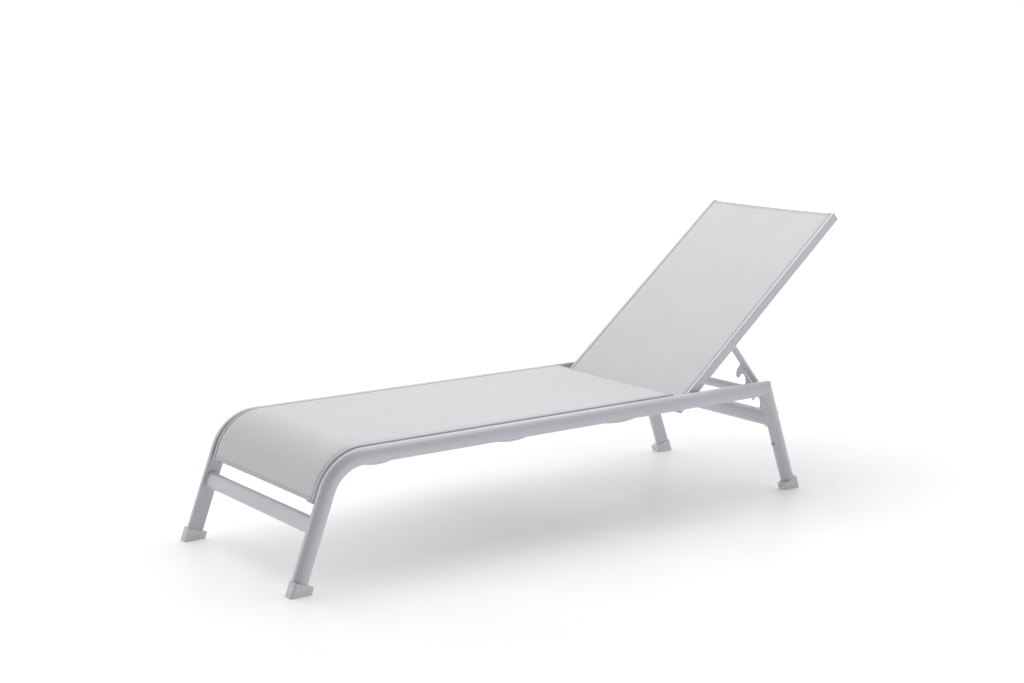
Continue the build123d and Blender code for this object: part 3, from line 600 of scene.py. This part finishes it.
back_cloth, back_edge = sling("back_sling_cloth", back_place, BACK_LEN, (257.2, -2.0, 0.8), BACK_LEVEL, -5.5, back_sag, 11, MAT["sling"])
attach(back_cloth, "backrest")
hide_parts("back_sling")


def stitch_rows(name, place, length, level, sag_at, edge, seed, body):
    """Lockstitch along both hems, above and below the cloth: short raised loops of thread that dip at each needle hole."""
    many = Many()
    pitch, ln = 4.2, 3.5
    for line in (7.0, 9.8):
        for end in (0, 1):
            v = line if end == 0 else length - line
            hh = hem_half(line)
            count = int((2 * edge - 28.0) // pitch)
            a0 = -(count * pitch) / 2
            for side in (1, -1):
                for k in range(count):
                    ac = a0 + (k + 0.5) * pitch
                    segs = 3
                    base = len(many.v)
                    vv = v + random.uniform(-0.08, 0.08)
                    for s in range(segs + 1):
                        f = s / segs
                        a = ac - ln / 2 + ln * f
                        q = min(1.0, abs(a) / edge)
                        b = level - (sag_at(vv, a) + 0.28 * noise2(a, vv, seed)) * sag_share(q)
                        lift = hh + 0.02 + 0.20 * math.sin(math.pi * f)
                        r = 0.17 + 0.10 * math.sin(math.pi * f)
                        for c in range(5):
                            w = 2 * math.pi * c / 5
                            x, z = place(vv + r * 1.15 * math.cos(w), b + side * (lift + r * math.sin(w)))
                            many.v.append((x, a, z))
                    for s in range(segs):
                        for c in range(5):
                            p = base + s * 5 + c
                            q2 = base + s * 5 + (c + 1) % 5
                            many.f.append((p, q2, q2 + 5, p + 5))
                    many.f.append(tuple(base + c for c in range(5))[::-1])
                    many.f.append(tuple(base + segs * 5 + c for c in range(5)))
    o = turn_out(many.build(name, MAT["thread"]))
    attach(o, body)
    return o


seat_thread = stitch_rows("seat_hem_stitches", seat_place, SEAT_LEN, SEAT_LEVEL, seat_sag, seat_edge, 3, "frame")
back_thread = stitch_rows("back_hem_stitches", back_place, BACK_LEN, BACK_LEVEL, back_sag, back_edge, 11, "backrest")


# ------------------------------------------------------------------ weld beads
def ellipse(cx, cz, rx, rz, n, tilt=0.0):
    out = []
    for k in range(n):
        a = 2 * math.pi * k / n
        u, w = rx * math.cos(a), rz * math.sin(a)
        out.append((cx + u * math.cos(tilt) - w * math.sin(tilt), cz + u * math.sin(tilt) + w * math.cos(tilt)))
    return out


def resample(points, step):
    """Closed side-view outline resampled at about step mm."""
    p = np.asarray(points + [points[0]], float)
    d = np.concatenate([[0], np.cumsum(np.linalg.norm(np.diff(p, axis=0), axis=1))])
    n = max(12, int(round(d[-1] / step)))
    s = np.linspace(0, d[-1], n, endpoint=False)
    return [(float(np.interp(q, d, p[:, 0])), float(np.interp(q, d, p[:, 1]))) for q in s]


def bead_xz(many, outline, y, r=1.9):
    """Bead where a bar with this outline meets a face across y."""
    pts = [(x, y, z) for x, z in resample(outline, 0.9)]
    many.put(*tube_along(pts, r, sides=8, closed=True, ripple=0.10, pitch=2.6))


def oval_outline(centre, axis, w, h, grow=0.0):
    """The oval of the front bar as points; axis is its long side in the side view."""
    out = []
    for k in range(64):
        a = 2 * math.pi * k / 64
        c, s = math.cos(a), math.sin(a)
        u = (w + grow) * math.copysign(abs(c) ** 0.82, c)
        v = (h + grow) * math.copysign(abs(s) ** 0.82, s)
        out.append((centre[0] + u * axis[0] - v * axis[1], centre[1] + u * axis[1] + v * axis[0]))
    return out


def d_outline(centre, axis, h, w, strip):
    """D section of the lower rear bar: flat back towards the head end, convex front."""
    b, f, s = w / 2, -w / 2, w / 2 - strip
    pts = [(-h, b), (-h, s)]
    rad = (h * h + (s - f) ** 2) / (2 * (s - f))
    cy = f + rad
    a0 = math.asin(h / rad)
    for k in range(1, 16):
        a = -a0 + 2 * a0 * k / 16
        pts.append((rad * math.sin(a), cy - rad * math.cos(a)))
    pts += [(h, s), (h, b)]
    return [(centre[0] + u * axis[0] + v * axis[1], centre[1] + u * axis[1] - v * axis[0]) for u, v in pts]


frame_beads = Many()
for sg in (-1, 1):
    y = sg * (FACE_Y - 0.9)
    bead_xz(frame_beads, oval_outline(FRONT_BAR, (SA, CA), 22.6, 13.6), y)
    bead_xz(frame_beads, ellipse(*REAR_UPPER_BAR, REAR_UPPER_R + 0.3, REAR_UPPER_R + 0.3, 60), y, 1.7)
    bead_xz(frame_beads, d_outline(REAR_LOWER_BAR, (-SR, CR), 24.2, 27.4, 14.0), y)
    for x in BOW_X:
        c = math.hypot(1, BOW_SLOPE)
        arc = [math.radians(-38 + 256 * k / 70) for k in range(71)]
        pts = [(x + (BOW_R + 0.2) * math.cos(a), y, BOW_END_Z + (BOW_R + 0.2) * c * math.sin(a)) for a in arc]
        frame_beads.put(*tube_along(pts, 1.6, sides=8, closed=False, ripple=0.10, pitch=2.6))
welds_frame = turn_out(frame_beads.build("weld_beads_frame", MAT["weld"]))
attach(welds_frame, "frame")

back_beads = Many()
for sg in (-1, 1):
    for s in (766.0, -29.0):
        c = back_point(s, -16.0)
        bead_xz(back_beads, ellipse(c[0], c[1], 10.7, 10.7, 50), sg * (BACK_IN - 0.8), 1.5)
welds_back = turn_out(back_beads.build("weld_beads_back", MAT["weld"]))
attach(welds_back, "backrest")

sup_beads = Many()
for sg in (-1, 1):
    for al0, al1 in ((107.0, 125.5), (195.0, 213.0), (275.0, 293.0), (325.0, 336.0)):
        for off in (-1, 1):
            pts = []
            n = int((al1 - al0) / 0.8)
            for k in range(n + 1):
                al = al0 + (al1 - al0) * k / n
                x, z = strut_point(al, math.sqrt(STRUT_R ** 2 - (PLATE_T / 2) ** 2) + 0.3)
                pts.append((x, sg * (STRUT_Y + off * (PLATE_T / 2 + 0.3)), z))
            sup_beads.put(*tube_along(pts, 1.3, sides=8, closed=False, ripple=0.12, pitch=2.3))
    # where the pivot tube is coped onto the strut
    pts = []
    for k in range(56):
        a = 2 * math.pi * k / 56
        u, w = 9.2 * math.cos(a), 9.2 * math.sin(a)
        yy = STRUT_Y - math.sqrt(max(0.0, STRUT_R ** 2 - w * w)) - 0.3
        x, z = strut_point(u, w)
        pts.append((x, sg * yy, z))
    sup_beads.put(*tube_along(pts, 1.3, sides=8, closed=True, ripple=0.10, pitch=2.4))
welds_support = turn_out(sup_beads.build("weld_beads_support", MAT["weld"]))
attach(welds_support, "support")


# ------------------------------------------------------------------ floor, light and camera
def floor_material():
    m, nt, p = new_material("pale_floor")
    tc = nt.nodes.new("ShaderNodeTexCoord").outputs["Object"]
    blot = remap(nt, noise(nt, tc, 2.6, 5.0, 0.6), 0.35, 0.65, 0.0, 1.0)
    col = mix_colour(nt, blot, (0.80, 0.80, 0.805), (0.83, 0.83, 0.832))
    nt.links.new(col, p.inputs["Base Color"])
    p.inputs["Roughness"].default_value = 0.42
    p.inputs["Specular IOR Level"].default_value = 0.2
    # the floor glows by its own emission, which paints its light and shade: faint in a pool round the piece, where it
    # paints the shadow, and stronger farther out, where it paints the sweep behind and around the piece white
    mp = nt.nodes.new("ShaderNodeMapping")
    mp.inputs["Location"].default_value = (-0.36, -0.06, 0.0)
    mp.inputs["Scale"].default_value = (0.80, 1.10, 1.0)
    nt.links.new(tc, mp.inputs["Vector"])
    far = nt.nodes.new("ShaderNodeVectorMath")
    far.operation = "LENGTH"
    nt.links.new(mp.outputs["Vector"], far.inputs[0])
    painted_shadow_pool = remap(nt, far.outputs["Value"], 0.50, 1.10, 0.125, 0.28)
    beyond = remap(nt, far.outputs["Value"], 1.3, 4.5, 0.0, 0.50)
    nt.links.new(math_node(nt, "ADD", painted_shadow_pool, beyond), p.inputs["Emission Strength"])
    p.inputs["Emission Color"].default_value = (1.0, 1.0, 1.0, 1.0)
    return m


s = 40.0
floor = make_object("studio_floor", [(-s, -s, 0), (s, -s, 0), (s, s, 0), (-s, s, 0)], [(0, 1, 2, 3)], floor_material(), smooth=False)

world = bpy.data.worlds.new("studio_world")
bpy.context.scene.world = world
world.use_nodes = True
wn = world.node_tree
wn.nodes.clear()
out = wn.nodes.new("ShaderNodeOutputWorld")
seen = add(wn, "ShaderNodeBackground", Color=(1, 1, 1, 1), Strength=1.02)
lit = add(wn, "ShaderNodeBackground", Color=(0.985, 0.99, 1.0, 1))
YAW = math.radians(37.43)
sky = wn.nodes.new("ShaderNodeTexCoord").outputs["Generated"]
total = 0.0
AWAY = Vector((math.sin(YAW), math.cos(YAW), 0.0))
ASIDE = Vector((math.cos(YAW), -math.sin(YAW), 0.0))
RISE = Vector((0.0, 0.0, 0.5))
# wide soft panels: behind, either side, a little fill from the front, and two raised ones at the back corners
for way, power, tight in ((AWAY, 0.58, 2.0), (-ASIDE, 0.80, 2.0), (ASIDE, 0.55, 2.0), (-AWAY, 0.06, 2.0),
                          (AWAY - ASIDE + RISE, 0.83, 4.0), (AWAY + ASIDE + RISE, 1.25, 4.0)):
    dot = wn.nodes.new("ShaderNodeVectorMath")
    dot.operation = "DOT_PRODUCT"
    wn.links.new(sky, dot.inputs[0])
    dot.inputs[1].default_value = way.normalized()
    lobe = math_node(wn, "POWER", math_node(wn, "MAXIMUM", dot.outputs["Value"], 0.0), tight)
    total = math_node(wn, "MULTIPLY_ADD", lobe, power, total)
wn.links.new(total, lit.inputs["Strength"])
path = wn.nodes.new("ShaderNodeLightPath")
mixs = wn.nodes.new("ShaderNodeMixShader")
wn.links.new(path.outputs["Is Camera Ray"], mixs.inputs[0])
wn.links.new(lit.outputs[0], mixs.inputs[1])
wn.links.new(seen.outputs[0], mixs.inputs[2])
wn.links.new(mixs.outputs[0], out.inputs["Surface"])


def area_light(name, at, aim, size, size_y, power, colour=(1, 1, 1)):
    d = bpy.data.lights.new(name, "AREA")
    d.shape = "RECTANGLE"
    d.size, d.size_y, d.energy, d.color = size, size_y, power, colour
    o = bpy.data.objects.new(name, d)
    bpy.context.scene.collection.objects.link(o)
    o.location = at
    o.rotation_mode = "QUATERNION"
    o.rotation_quaternion = (Vector(aim) - Vector(at)).to_track_quat("-Z", "Y")
    return o


area_light("soft_overhead", (0.25, 0.35, 3.1), (0.0, 0.0, 0.3), 4.2, 3.0, 67.0)

cam_data = bpy.data.cameras.new("camera")
cam = bpy.data.objects.new("camera", cam_data)
bpy.context.scene.collection.objects.link(cam)
cam_data.sensor_width = 36.0
cam_data.lens = 1664.92 / 1024 * 36.0
cam_data.shift_x = (512 - 537.88) / 1024
cam_data.shift_y = (334.69 - 341.5) / 1024
cam_data.clip_start, cam_data.clip_end = 0.05, 200.0
yaw, pitch, roll = YAW, math.radians(9.99), math.radians(-0.33)
fwd = Vector((math.sin(yaw) * math.cos(pitch), math.cos(yaw) * math.cos(pitch), -math.sin(pitch)))
right = Vector((math.cos(yaw), -math.sin(yaw), 0))
down = fwd.cross(right)
r2 = right * math.cos(roll) + down * math.sin(roll)
d2 = down * math.cos(roll) - right * math.sin(roll)
cam.matrix_world = Matrix.Translation(Vector((-2.89552, -3.80940, 1.36291))) @ Matrix((
    (r2.x, -d2.x, -fwd.x), (r2.y, -d2.y, -fwd.y), (r2.z, -d2.z, -fwd.z))).to_4x4()
bpy.context.scene.camera = cam

vs = bpy.context.scene.view_settings
vs.view_transform = "Standard"
vs.look = "None"
vs.exposure = 0.0
vs.gamma = 1.0
